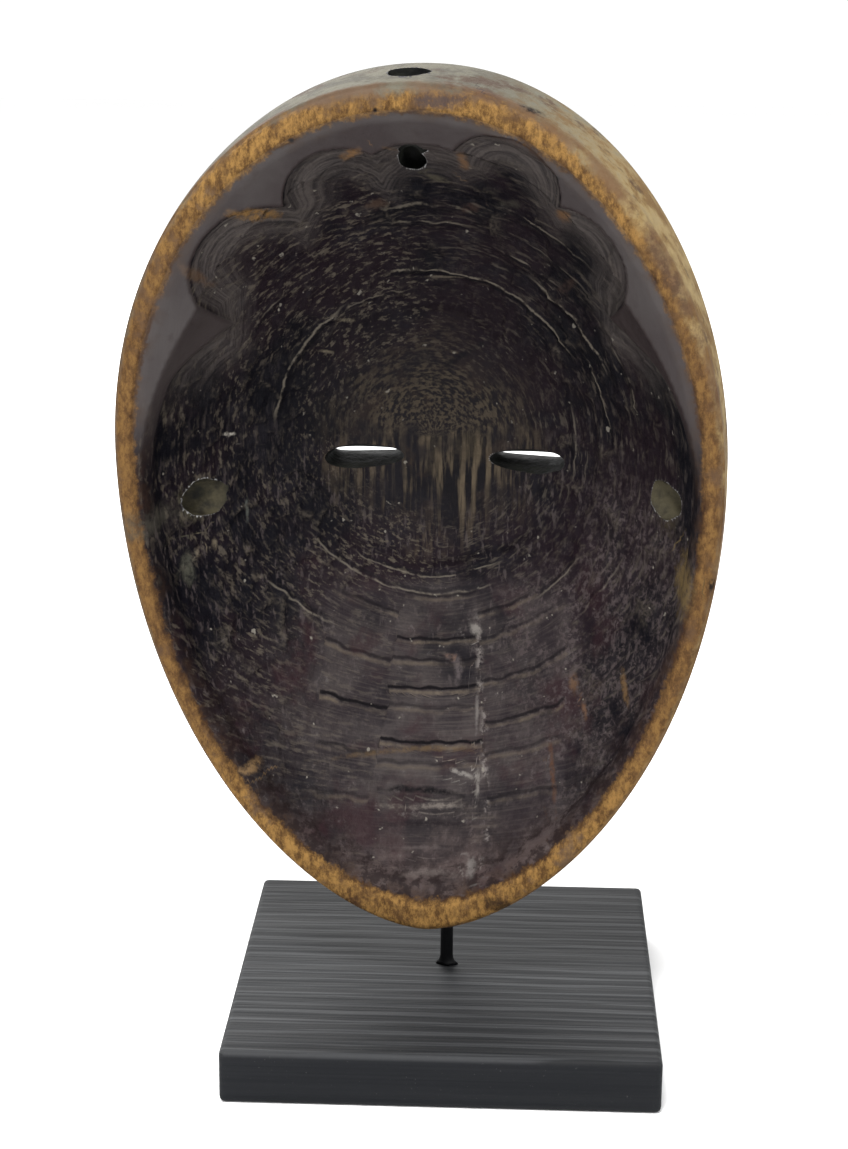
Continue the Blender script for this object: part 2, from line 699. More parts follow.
def new_object(name, points, faces):
    """A smooth mesh object from places and groups of faces."""
    mesh = bpy.data.meshes.new(name)
    mesh.from_pydata(points.tolist(), [], [f.tolist() for group in faces for f in group])
    mesh.update()
    mesh.shade_smooth()
    piece = bpy.data.objects.new(name, mesh)
    bpy.context.scene.collection.objects.link(piece)
    return piece


def set_attribute(piece, name, values):
    """Stores a number, or a colour of three numbers, at every corner of a mesh."""
    if values.ndim == 1:
        layer = piece.data.attributes.new(name, "FLOAT", "POINT")
        layer.data.foreach_set("value", np.ascontiguousarray(values, dtype=np.float32))
    else:
        layer = piece.data.attributes.new(name, "FLOAT_COLOR", "POINT")
        full = np.hstack([values, np.ones((len(values), 1))])
        layer.data.foreach_set("color", np.ascontiguousarray(full, dtype=np.float32).ravel())


def painted_marks(points, marks):
    """The nearest mark at each place: two coordinates in shares of its half sizes, strength and colour.

    Each mark is an ellipse, turned by its tilt in the plane across the mask. Its strength fades out 1 to 3 mm
    beyond its edge and with depth, so that no line shows where the nearest mark changes.
    """
    nearest = np.full(len(points), MARK_FARTHEST)
    found = np.zeros((len(points), 3))
    shade = np.zeros((len(points), 3))
    for middle, size, tilt, strength, display in marks:
        away = points - np.array((middle[0], -middle[1], middle[2]))
        angle = np.radians(tilt)
        along = (away[:, 0] * np.cos(angle) - away[:, 2] * np.sin(angle)) / size[0]
        up = (away[:, 0] * np.sin(angle) + away[:, 2] * np.cos(angle)) / size[1]
        beyond = (np.hypot(along, up) - 1) * min(size)
        nearer = beyond < nearest
        nearest = np.where(nearer, beyond, nearest)
        reach = 1 - smooth(np.abs(away[:, 1]), 0.7 * MARK_REACH, MARK_REACH)
        fading = strength * reach * (1 - smooth(beyond, *MARK_FADE))
        found[nearer] = np.stack([along, up, fading], 1)[nearer]
        shade[nearer] = colour(*display)
    return {
        "mark_along": found[:, 0],
        "mark_up": found[:, 1],
        "mark_strength": found[:, 2],
        "mark_colour": shade,
    }


def mask_mesh():
    """The hollow, the rim and the face side as one closed skin, with the zones of its finish."""
    radius, angle = disc_grid(HOLLOW_LINES)
    hollow = hollow_surface(radius, angle)
    normals = sheet_normals(hollow)
    normals *= np.sign(normals[..., 1:2] + 1e-9)
    near_rim = (1 - radius) * HALF_WIDTH
    bevel_gap = near_rim - bevel_width(angle)
    cut, zones = carving(hollow[..., 0], hollow[..., 2], bevel_gap)
    cut = cut * smooth(near_rim, *CUT_FADE)
    hollow = hollow - normals * cut[..., None]
    ring_turns = 1 - (1 - np.arange(1, RIM_RINGS + 1) / RIM_RINGS) ** RIM_CROWDING
    loop = border_order(HOLLOW_LINES)
    loop_angle = angle.ravel()[loop]
    rim = rim_surface(ring_turns[:, None], np.broadcast_to(loop_angle, (RIM_RINGS, len(loop))))
    face_radius, face_angle = disc_grid(FACE_LINES)
    face = outer_surface(face_radius, face_angle)
    face, inside = face_relief(face, sheet_normals(face))
    first_rim = hollow.size // 3
    first_face = first_rim + rim.size // 3
    points = np.concatenate([hollow.reshape(-1, 3), rim.reshape(-1, 3), face.reshape(-1, 3)])
    rings = [loop] + [first_rim + k * len(loop) + np.arange(len(loop)) for k in range(RIM_RINGS)]
    bands = []
    for a, b in zip(rings, rings[1:]):
        bands.append(np.stack([a, np.roll(a, -1), np.roll(b, -1), b], 1))
    face_loop = first_face + border_order(FACE_LINES)
    faces = [grid_faces(HOLLOW_LINES, HOLLOW_LINES, flip=True)] + bands
    faces.append(stitch(rings[-1], face_loop))
    faces.append(grid_faces(FACE_LINES, FACE_LINES, first_face))
    rim_across = ring_turns[:, None] * rim_width(loop_angle)
    past_rim = (1 - face_radius) / SIDE_SHARE * swell_depth(face_angle)
    face_across = rim_width(face_angle) + past_rim
    across = np.concatenate([-near_rim.ravel(), rim_across.ravel(), face_across.ravel()])
    whole_angle = np.concatenate([angle.ravel(), np.tile(loop_angle, RIM_RINGS), face_angle.ravel()])
    elsewhere = np.zeros(rim.size // 3 + face_radius.size)
    columns = {name: np.concatenate([values.ravel(), elsewhere]) for name, values in zones.items()}
    columns["carved_face"] = np.concatenate([np.zeros(radius.size + rim.size // 3), inside.ravel()])
    columns["across"] = across + ACROSS_SHIFT
    columns["bare"] = bare_width(whole_angle) - across
    columns.update(painted_marks(points, MARKS))
    on_face = across > MARKED_RIM
    for name, values in painted_marks(points, FACE_MARKS).items():
        chosen = on_face if values.ndim == 1 else on_face[:, None]
        columns[name] = np.where(chosen, values, columns[name])
    columns["round_side"] = np.cos(whole_angle)
    return points, faces, columns


# Where old paint is left on the rim: angle in radians, spread in radians, and share of the rim's width
PAINTED_TOP = (1.45, 0.22, 0.3)
PAINTED_SHOULDER = (2.45, 0.42, 0.42)


def bell(place, middle, spread, height):
    """height e^-((place - middle) / spread)^2."""
    return height * np.exp(-(((place - middle) / spread) ** 2))


def bare_width(angle):
    """Width of the bare wood on the rim: less at the top and on the right shoulder, where paint is left."""
    shoulder = bell(np.abs(angle), *PAINTED_SHOULDER) * (np.sin(angle) > 0)
    return rim_width(angle) * (1 - bell(angle, *PAINTED_TOP) - shoulder)


# Openings cut through the mask
SLIT_HALF_LENGTH = 11.6
SLIT_FRONT_HEIGHT = 2.7
SLIT_BACK_HEIGHT = 8
SLIT_DROP = 1
SLIT_POWER = 0.8
# Sections of a slit from the hollow to the front: depth, half height, lift and share of the length
SLIT_SECTIONS = (
    (HOLLOW_DEPTH - 20, SLIT_BACK_HEIGHT * 0.75, SLIT_DROP, 1.15),
    (HOLLOW_DEPTH - 2, SLIT_BACK_HEIGHT / 2, SLIT_DROP / 2, 1.04),
    (HOLLOW_DEPTH + 6, SLIT_FRONT_HEIGHT / 2, 0, 1),
    (FRONT_DEPTH + 10, SLIT_FRONT_HEIGHT / 2, -SLIT_DROP / 2, 1),
)
# Tie holes: x, depth and radius at the inner and at the outer end
TIE_HOLE_INNER = (58, 31, 7)
TIE_HOLE_OUTER = (96, 22, 3)
TIE_HOLE_Z = -16
TIE_HOLE_TILT = 2
# Crown hole, and the pocket that opens it towards the hollow: both ends, their radii and the stretch across
CROWN_HOLE = ((1.1, -15, 84), (2.4, -15, 118), 3.6, 5.7, 1.15)
CROWN_POCKET = ((2.6, -6, 87.0), (2.6, -31, 88.2), 4.2, 3.9)
# Rod's holes: radius, depth in the board, and height of the chin's hole over the board
ROD_HOLE_RADIUS = 2.3
BOARD_HOLE_DEPTH = 13
CHIN_HOLE_TOP = 34.3
LOOP_SIDES = 40
# How far a bored hole is out of round, as shares of its radius
WOBBLE = (0.05, 0.03)


def tube(sections):
    """A closed tube through rings of points, with a fan at each end."""
    rings = np.stack(sections)
    count, sides = rings.shape[:2]
    points = np.concatenate([rings.reshape(-1, 3), rings[0].mean(0)[None], rings[-1].mean(0)[None]])
    j = np.arange(sides)
    k = (j + 1) % sides
    bands = []
    for i in range(count - 1):
        a, b = i * sides, (i + 1) * sides
        bands.append(np.stack([a + j, a + k, b + k, b + j], 1))
    ends = [np.stack([np.full(sides, count * sides), k, j], 1)]
    last = (count - 1) * sides
    ends.append(np.stack([np.full(sides, count * sides + 1), last + j, last + k], 1))
    return points, bands + ends


def slit_rings(middle_x):
    """A flattened lozenge that widens towards the hollow and slopes down to the front."""
    turn = np.linspace(0, 2 * np.pi, LOOP_SIDES, endpoint=False)
    across = np.sign(np.cos(turn)) * np.abs(np.cos(turn)) ** SLIT_POWER
    sections = []
    for depth, half, lift, length in SLIT_SECTIONS:
        x = middle_x + SLIT_HALF_LENGTH * length * across
        z = EYE_Z + lift + half * np.sin(turn)
        sections.append(np.stack([x, np.full_like(x, -depth), z], 1))
    return sections


def bore_rings(low, high, low_radius, high_radius, stretch=1.0):
    """Rings of a tapered round hole between two points, a little irregular and stretched across x."""
    low, high = np.array(low, float), np.array(high, float)
    axis = (high - low) / np.linalg.norm(high - low)
    side = np.cross(axis, (0, 1, 0))
    side /= np.linalg.norm(side)
    other = np.cross(axis, side)
    turn = np.linspace(0, 2 * np.pi, LOOP_SIDES, endpoint=False)
    sections = []
    for share in (0, 0.5, 1):
        wobble = 1 + WOBBLE[0] * np.sin(3 * turn + share) + WOBBLE[1] * np.cos(5 * turn)
        radius = lerp(low_radius, high_radius, share) * wobble[:, None]
        ring = np.cos(turn)[:, None] * side * lerp(1, stretch, share) + np.sin(turn)[:, None] * other
        sections.append(lerp(low, high, share) + radius * ring)
    return sections


def cutters():
    """Sections of every opening: eye slits, tie holes, crown hole, its pocket and the rod's hole."""
    turn = np.array(mask_turn())
    below = (Vector((0, 0, BASE_TOP)) - MASK_PLACE) / MM
    above = below + Vector((0, 0, CHIN_HOLE_TOP))
    openings = [slit_rings(side * EYE_X) for side in (-1, 1)]
    for side in (-1, 1):
        z = TIE_HOLE_Z - side * TIE_HOLE_TILT
        ends = [(side * x, -depth, z) for x, depth, _ in (TIE_HOLE_INNER, TIE_HOLE_OUTER)]
        openings.append(bore_rings(*ends, TIE_HOLE_INNER[2], TIE_HOLE_OUTER[2]))
    openings.append(bore_rings(*CROWN_HOLE))
    openings.append(bore_rings(*CROWN_POCKET))
    ends = (np.array(below) @ turn, np.array(above) @ turn)
    openings.append(bore_rings(*ends, ROD_HOLE_RADIUS, ROD_HOLE_RADIUS))
    return openings


def apply_cut(piece, cutter):
    """Cuts one closed mesh out of another and keeps the result as plain mesh."""
    tool = piece.modifiers.new("cut", "BOOLEAN")
    tool.operation = "DIFFERENCE"
    tool.solver = "MANIFOLD"
    tool.object = cutter
    bpy.context.view_layer.update()
    depsgraph = bpy.context.evaluated_depsgraph_get()
    result = bpy.data.meshes.new_from_object(piece.evaluated_get(depsgraph))
    if len(result.vertices) == len(piece.data.vertices):
        raise ValueError(f"a cut in {piece.name} changed nothing")
    piece.modifiers.remove(tool)
    piece.data = result
    bpy.data.objects.remove(cutter)


def read_field(layer, field, size=1, kind=np.int32):
    """One field of a mesh's layer as one flat array."""
    values = np.zeros(len(layer) * size, dtype=kind)
    layer.foreach_get(field, values)
    return values


def cut_finish(mesh):
    """For every corner of every face, 1 where the face belongs to a cut and 0 elsewhere."""
    finish = read_field(mesh.polygons, "material_index")
    return np.repeat(finish, read_field(mesh.polygons, "loop_total"))


def sharpen_cuts(mesh):
    """Marks as sharp every edge between a face of the mask's surface and a face of a cut."""
    edges = read_field(mesh.loops, "edge_index")
    cut_faces = np.bincount(edges, cut_finish(mesh), len(mesh.edges))
    all_faces = np.bincount(edges, minlength=len(mesh.edges))
    sharp = mesh.attributes.new("sharp_edge", "BOOLEAN", "EDGE")
    sharp.data.foreach_set("value", (cut_faces > 0) & (cut_faces < all_faces))


def fill_cut_corners(mesh, names):
    """Gives each corner of a cut the mean of the values at its neighbours on the uncut surface.

    A neighbour is the other end of an edge, and it counts where no face of a cut meets it.
    """
    count = len(mesh.vertices)
    of_cut = np.bincount(read_field(mesh.loops, "vertex_index"), cut_finish(mesh), count) > 0
    near, far = read_field(mesh.edges, "vertices", 2).reshape(-1, 2).T
    near, far = np.concatenate([near, far]), np.concatenate([far, near])
    wanted = of_cut[near] & ~of_cut[far]
    near, far = near[wanted], far[wanted]
    neighbours = np.bincount(near, minlength=count)
    filled = neighbours > 0
    for name in names:
        attribute = mesh.attributes[name]
        field, size = ("color", 4) if attribute.data_type == "FLOAT_COLOR" else ("value", 1)
        values = read_field(attribute.data, field, size, float).reshape(-1, size)
        for part in range(size):
            total = np.bincount(near, values[far, part], count)
            values[filled, part] = total[filled] / neighbours[filled]
        attribute.data.foreach_set(field, values.ravel())


def fix_direction(piece):
    """Turns every face outwards where the volume comes out negative."""
    mesh = piece.data
    mesh.calc_loop_triangles()
    corners = read_field(mesh.loop_triangles, "vertices", 3).reshape(-1, 3)
    places = read_field(mesh.vertices, "co", 3, float).reshape(-1, 3)
    a, b, c = places[corners].transpose(1, 0, 2)
    if (a * np.cross(b, c)).sum() < 0:
        mesh.flip_normals()


def make_mask():
    """The carved mask with its openings cut and its finish stored at the corners."""
    points, faces, columns = mask_mesh()
    piece = new_object("carved_mask", place(points), faces)
    finishes = (mask_material(), bore_material())
    for finish in finishes:
        piece.data.materials.append(finish)
    for name, values in columns.items():
        set_attribute(piece, name, values)
    for sections in cutters():
        cut_points, cut_faces = tube(sections)
        cutter = new_object("cutter", place(cut_points), cut_faces)
        for finish in finishes:
            cutter.data.materials.append(finish)
        cutter.data.polygons.foreach_set("material_index", [1] * len(cutter.data.polygons))
        fix_direction(cutter)
        apply_cut(piece, cutter)
    piece.data.shade_smooth()
    sharpen_cuts(piece.data)
    fill_cut_corners(piece.data, columns)
    return piece


# Board and rod
BASE_ROUND = 1.8
ROUND_LINES = 5
GRAIN_LINES = 120
SIDE_LINES = 8
TOP_TOLERANCE = 0.01
GRAIN_DEPTH = 0.06
GRAIN_SPACING = 7.2
# Bow of the growth rings: middle and spread along the board, and height
GRAIN_BOW = (-12, 46, 5.5)
GRAIN_DRIFT = 2.2
GRAIN_DRIFT_LENGTH = 21
GRAIN_DRIFT_START = 1.3
GRAIN_CROWDING = 0.25
GRAIN_CROWDING_LENGTH = 17
ROD_RADIUS = 2.0
ROD_SIDES = 48
ROD_CHAMFER = 0.4
ROD_END_SHARE = 0.94
# The rod where it leaves the board, in a lip of glue: height over the board and share of the radius
ROD_FOOT = ((-0.3, 1), (0.1, 1.5), (0.9, 1.22), (1.8, 1.06), (2.8, 1), (12, 0.99), (22, 1))
# Waves of the glue's ragged edge: how many round the rod, share of its width, and start in radians
GLUE_WAVES = ((2, 0.55, 2.4), (5, 0.3, 0))


def edge_lines(half, count):
    """Grid lines across a side: crowded in the rounded edges and even between them."""
    corner = BASE_ROUND * (1 - np.cos(np.linspace(0, np.pi / 2, ROUND_LINES)))
    middle = np.linspace(-half + BASE_ROUND, half - BASE_ROUND, count)
    return np.concatenate([-half + corner[:-1], middle, half - corner[-2::-1]])


def rounded(points, half):
    """Rounded box: the nearest point of the box inside the rounding, plus the rounding's radius outwards."""
    core = np.clip(points, -(half - BASE_ROUND), half - BASE_ROUND)
    away = points - core
    length = np.maximum(np.linalg.norm(away, axis=-1, keepdims=True), 1e-9)
    return core + away / length * BASE_ROUND


def grain_wave(x, y):
    """Growth rings cut flat: the sine of a phase that grows with y, with a bell-shaped bow and slow sines."""
    drift = GRAIN_DRIFT * np.sin(x / GRAIN_DRIFT_LENGTH + GRAIN_DRIFT_START)
    phase = (y + bell(x, *GRAIN_BOW) + drift) / GRAIN_SPACING
    return np.sin(2 * np.pi * (phase + GRAIN_CROWDING * np.sin(y / GRAIN_CROWDING_LENGTH)))


def make_base():
    """A rounded board whose top is lower in the soft bands of its grain, with the rod's hole."""
    low, high = (np.array(v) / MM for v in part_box("base"))
    half = (high - low) / 2
    middle = (high + low) / 2
    counts = (GRAIN_LINES, GRAIN_LINES, SIDE_LINES)
    lines = [edge_lines(side, count) for side, count in zip(half, counts)]
    points, faces, first = [], [], 0
    for axis in range(3):
        next_axis, last_axis = (axis + 1) % 3, (axis + 2) % 3
        u, v = np.meshgrid(lines[next_axis], lines[last_axis])
        for side in (-1, 1):
            sheet = np.empty(u.shape + (3,))
            sheet[..., axis] = side * half[axis]
            sheet[..., next_axis] = u
            sheet[..., last_axis] = v
            points.append(sheet.reshape(-1, 3))
            faces.append(grid_faces(u.shape[1] - 1, u.shape[0] - 1, first, flip=side < 0))
            first += u.size
    flat = rounded(np.concatenate(points), half)
    wave = grain_wave(flat[:, 0], flat[:, 1])
    on_top = flat[:, 2] > half[2] - TOP_TOLERANCE
    flat[:, 2] -= np.where(on_top, GRAIN_DEPTH * (1 - wave), 0)
    piece = new_object("board", (flat + middle) * MM, faces)
    piece.data.materials.append(base_material())
    weld(piece)
    ends = ((0, 0, high[2] - BOARD_HOLE_DEPTH), (0, 0, high[2] + 1))
    cut_points, cut_faces = tube(bore_rings(*ends, ROD_HOLE_RADIUS, ROD_HOLE_RADIUS))
    cutter = new_object("cutter", cut_points * MM, cut_faces)
    fix_direction(cutter)
    apply_cut(piece, cutter)
    piece.data.shade_smooth()
    return piece


def weld(piece):
    """Joins corners that lie in the same place."""
    mesh = bmesh.new()
    mesh.from_mesh(piece.data)
    bmesh.ops.remove_doubles(mesh, verts=mesh.verts, dist=1e-6)
    mesh.to_mesh(piece.data)
    mesh.free()


def make_rod():
    """A turned profile with a ragged collar of glue where it leaves the board."""
    low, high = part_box("rod")
    turn = np.linspace(0, 2 * np.pi, ROD_SIDES, endpoint=False)
    profile = [(low.z, ROD_END_SHARE), (low.z + ROD_CHAMFER * MM, 1)]
    profile += [(BASE_TOP + height * MM, share) for height, share in ROD_FOOT]
    profile += [(high.z - ROD_CHAMFER * MM, 1), (high.z, ROD_END_SHARE)]
    ragged = 1 + sum(height * np.sin(count * turn + start) for count, height, start in GLUE_WAVES)
    sections = []
    for z, share in profile:
        radius = ROD_RADIUS * MM * np.where(share > 1, 1 + (share - 1) * ragged, share)
        sections.append(np.stack([radius * np.cos(turn), radius * np.sin(turn), np.full_like(turn, z)], 1))
    points, faces = tube(sections)
    piece = new_object("round_rod", points, faces)
    piece.data.materials.append(rod_material())
    fix_direction(piece)
    return piece


# How ragged a mark's edge is, and the range over which it fades with that raggedness added
MARK_RAGGED = 1.6
MARK_EDGE = (1.75, 1.0)


class Nodes:
    """Short calls for building one material's node tree."""

    def __init__(self, name):
        self.material = bpy.data.materials.new(name)
        self.material.use_nodes = True
        self.tree = self.material.node_tree
        self.shader = self.tree.nodes["Principled BSDF"]
        self.coords = self.tree.nodes.new("ShaderNodeTexCoord").outputs["Object"]

    def put(self, socket, value):
        """Links another node's output, or sets a number or a colour on the socket itself."""
        if isinstance(value, bpy.types.NodeSocket):
            self.tree.links.new(value, socket)
        elif isinstance(value, tuple):
            socket.default_value = (*value, 1.0)
        else:
            socket.default_value = value

    def attribute(self, name, output="Fac"):
        node = self.tree.nodes.new("ShaderNodeAttribute")
        node.attribute_name = name
        return node.outputs[output]

    def all_of(self, *shares):
        """Product of several shares."""
        whole = shares[0]
        for share in shares[1:]:
            whole = self.math("MULTIPLY", whole, share)
        return whole

    def math(self, operation, a, b=0.0, clamp=False):
        node = self.tree.nodes.new("ShaderNodeMath")
        node.operation = operation
        node.use_clamp = clamp
        self.put(node.inputs[0], a)
        self.put(node.inputs[1], b)
        return node.outputs[0]

    def step(self, value, low, high, to_low=0.0, to_high=1.0):
        """From to_low at low to to_high at high, by 3s^2 - 2s^3 between."""
        node = self.tree.nodes.new("ShaderNodeMapRange")
        node.interpolation_type = "SMOOTHSTEP"
        self.put(node.inputs["Value"], value)
        for name, number in (("From Min", low), ("From Max", high), ("To Min", to_low), ("To Max", to_high)):
            node.inputs[name].default_value = number
        return node.outputs["Result"]

    def about_half(self, value, scale):
        """(value - 0.5) scale, for noise that is to push both ways."""
        return self.math("MULTIPLY", self.math("SUBTRACT", value, 0.5), scale)

    def near_line(self, distance, far, close):
        """1 where the distance is within close of a line, on either side of it, and 0 beyond far."""
        return self.step(self.math("ABSOLUTE", distance), far, close)

    def mix(self, share, a, b):
        node = self.tree.nodes.new("ShaderNodeMix")
        node.data_type = "RGBA"
        self.put(node.inputs["Factor"], share)
        self.put(node.inputs["A"], a)
        self.put(node.inputs["B"], b)
        return node.outputs["Result"]

    def stretched(self, scale):
        node = self.tree.nodes.new("ShaderNodeMapping")
        node.inputs["Scale"].default_value = scale
        self.tree.links.new(self.coords, node.inputs["Vector"])
        return node.outputs["Vector"]

    def noise(self, scale, detail, rough, vector=None):
        node = self.tree.nodes.new("ShaderNodeTexNoise")
        self.tree.links.new(vector or self.coords, node.inputs["Vector"])
        node.inputs["Scale"].default_value = scale
        node.inputs["Detail"].default_value = detail
        node.inputs["Roughness"].default_value = rough
        return node.outputs["Fac"]

    def polar(self, ring, side, up, across, round_count):
        """Coordinates that follow the rings: across them in millimetres times a scale, and round them."""
        parts = (self.math("MULTIPLY", ring, across), self.math("MULTIPLY", side, round_count))
        return self.join(*parts, self.math("MULTIPLY", up, round_count))

    def join(self, x, y, z):
        node = self.tree.nodes.new("ShaderNodeCombineXYZ")
        for socket, value in zip(node.inputs, (x, y, z)):
            self.put(socket, value)
        return node.outputs[0]

    def mark(self, middle, size, warp):
        """1 inside an ellipse at a place in the mask's own millimetres, 0 outside, with a ragged edge."""
        node = self.tree.nodes.new("ShaderNodeMapping")
        node.vector_type = "TEXTURE"
        spot = Vector((middle[0], -middle[1], middle[2]))
        turn = mask_turn()
        node.inputs["Location"].default_value = MASK_PLACE + turn @ spot * MM
        node.inputs["Rotation"].default_value = turn.to_euler()
        node.inputs["Scale"].default_value = (size[0] * MM, MARK_REACH * MM, size[1] * MM)
        self.tree.links.new(self.coords, node.inputs["Vector"])
        length = self.tree.nodes.new("ShaderNodeVectorMath")
        length.operation = "LENGTH"
        self.tree.links.new(node.outputs["Vector"], length.inputs[0])
        return self.inside_mark(length.outputs["Value"], warp)

    def inside_mark(self, length, warp):
        """1 inside a mark and 0 outside, from the share of the way to its edge, made ragged by noise."""
        ragged = self.math("ADD", length, self.math("MULTIPLY", warp, MARK_RAGGED))
        return self.step(ragged, *MARK_EDGE)

    def bump(self, height, distance, strength):
        node = self.tree.nodes.new("ShaderNodeBump")
        node.inputs["Distance"].default_value = distance
        node.inputs["Strength"].default_value = strength
        self.tree.links.new(height, node.inputs["Height"])
        return node.outputs["Normal"]

    def position(self):
        node = self.tree.nodes.new("ShaderNodeSeparateXYZ")
        self.tree.links.new(self.coords, node.inputs[0])
        return node.outputs


# The lamps light the object to more than full white, so each colour as seen is darkened by one share
LAMP_SHARE = 0.55


def colour(red, green, blue):
    """A colour given in 0 to 255 display values, as the linear values that the shader takes."""
    c = np.array([red, green, blue]) / 255
    linear = np.where(c <= 0.04045, c / 12.92, ((c + 0.055) / 1.055) ** 2.4)
    return tuple(float(v) for v in linear * LAMP_SHARE)


# The hollow, as seen
HOLLOW_BLACK = colour(7, 6, 14)
AUBERGINE = colour(26, 16, 23)
SLATE = colour(29, 26, 32)
GREY_FLECK = colour(74, 66, 66)
PALE_FLAKE = colour(92, 84, 74)
PALE_STROKE = colour(80, 73, 66)
SCALLOP_GREY = colour(86, 79, 76)
STRIP_DARK = colour(46, 40, 43)
STRIP_WORN = colour(74, 67, 66)
STRIP_THREAD = colour(92, 84, 80)
CHIN_WORN = colour(98, 83, 80)
WINE_RED = colour(48, 27, 32)
DUST = colour(84, 74, 74)
SCUFF = colour(104, 97, 95)
STOP_DARK = colour(12, 8, 12)
STOP_PALE = colour(110, 98, 84)
SEAM_PALE = colour(134, 126, 122)
FIBRE_DARK = colour(19, 17, 21)
FIBRE_OLIVE = colour(98, 86, 70)
DISC_DARK = colour(27, 24, 27)
DISC_WORN = colour(76, 67, 56)
DISC_STAIN = colour(26, 24, 29)
DISC_BROWN = colour(70, 56, 44)
LEDGE_SHADE = colour(9, 7, 13)
LEDGE_LIGHT = colour(122, 114, 102)
BRIGHT_SPECK = colour(140, 134, 124)
BEVEL_BROWN = colour(56, 47, 47)
BEVEL_GREY = colour(68, 61, 60)
BEVEL_STAIN = colour(46, 35, 34)
# Rim, outside and face side
RIM_BROWN = colour(90, 64, 36)
RIM_GOLD = colour(164, 125, 70)
RIM_UMBER = colour(92, 68, 46)
RIM_GREY = colour(116, 96, 78)
RIM_SIDE = colour(86, 60, 38)
RIM_INNER_EDGE = colour(56, 36, 24)
HOLLOW_EDGE = colour(56, 40, 30)
CHIN_EDGE = colour(30, 20, 20)
CHALK_DARK = colour(92, 88, 78)
CHALK_GREY = colour(116, 112, 98)
CREAM_BROWN = colour(128, 100, 62)
CREAM = colour(172, 150, 106)
CHALK_BROWN = colour(78, 56, 44)
RIM_PAINT = colour(112, 86, 66)
FACE_WOOD_DARK = colour(78, 58, 44)
FACE_WOOD = colour(108, 86, 64)
FACE_CHALK = colour(160, 152, 136)
WORMHOLE = colour(20, 14, 14)
# Holes, board and rod
BORE_BLACK = colour(14, 15, 14)
BORE_GREY = colour(34, 35, 29)
MOUTH_OLIVE = colour(50, 46, 35)
MOUTH_PALE = colour(82, 76, 58)
BOARD_DARK = colour(36, 37, 39)
BOARD_GREY = colour(62, 63, 65)
BOARD_STREAK = colour(26, 28, 31)
BOARD_SIDE = colour(17, 20, 25)
BOARD_SPECK = colour(110, 110, 108)
ROD_BLACK = colour(1, 2, 5)
ROD_SHEEN = colour(6, 6, 9)


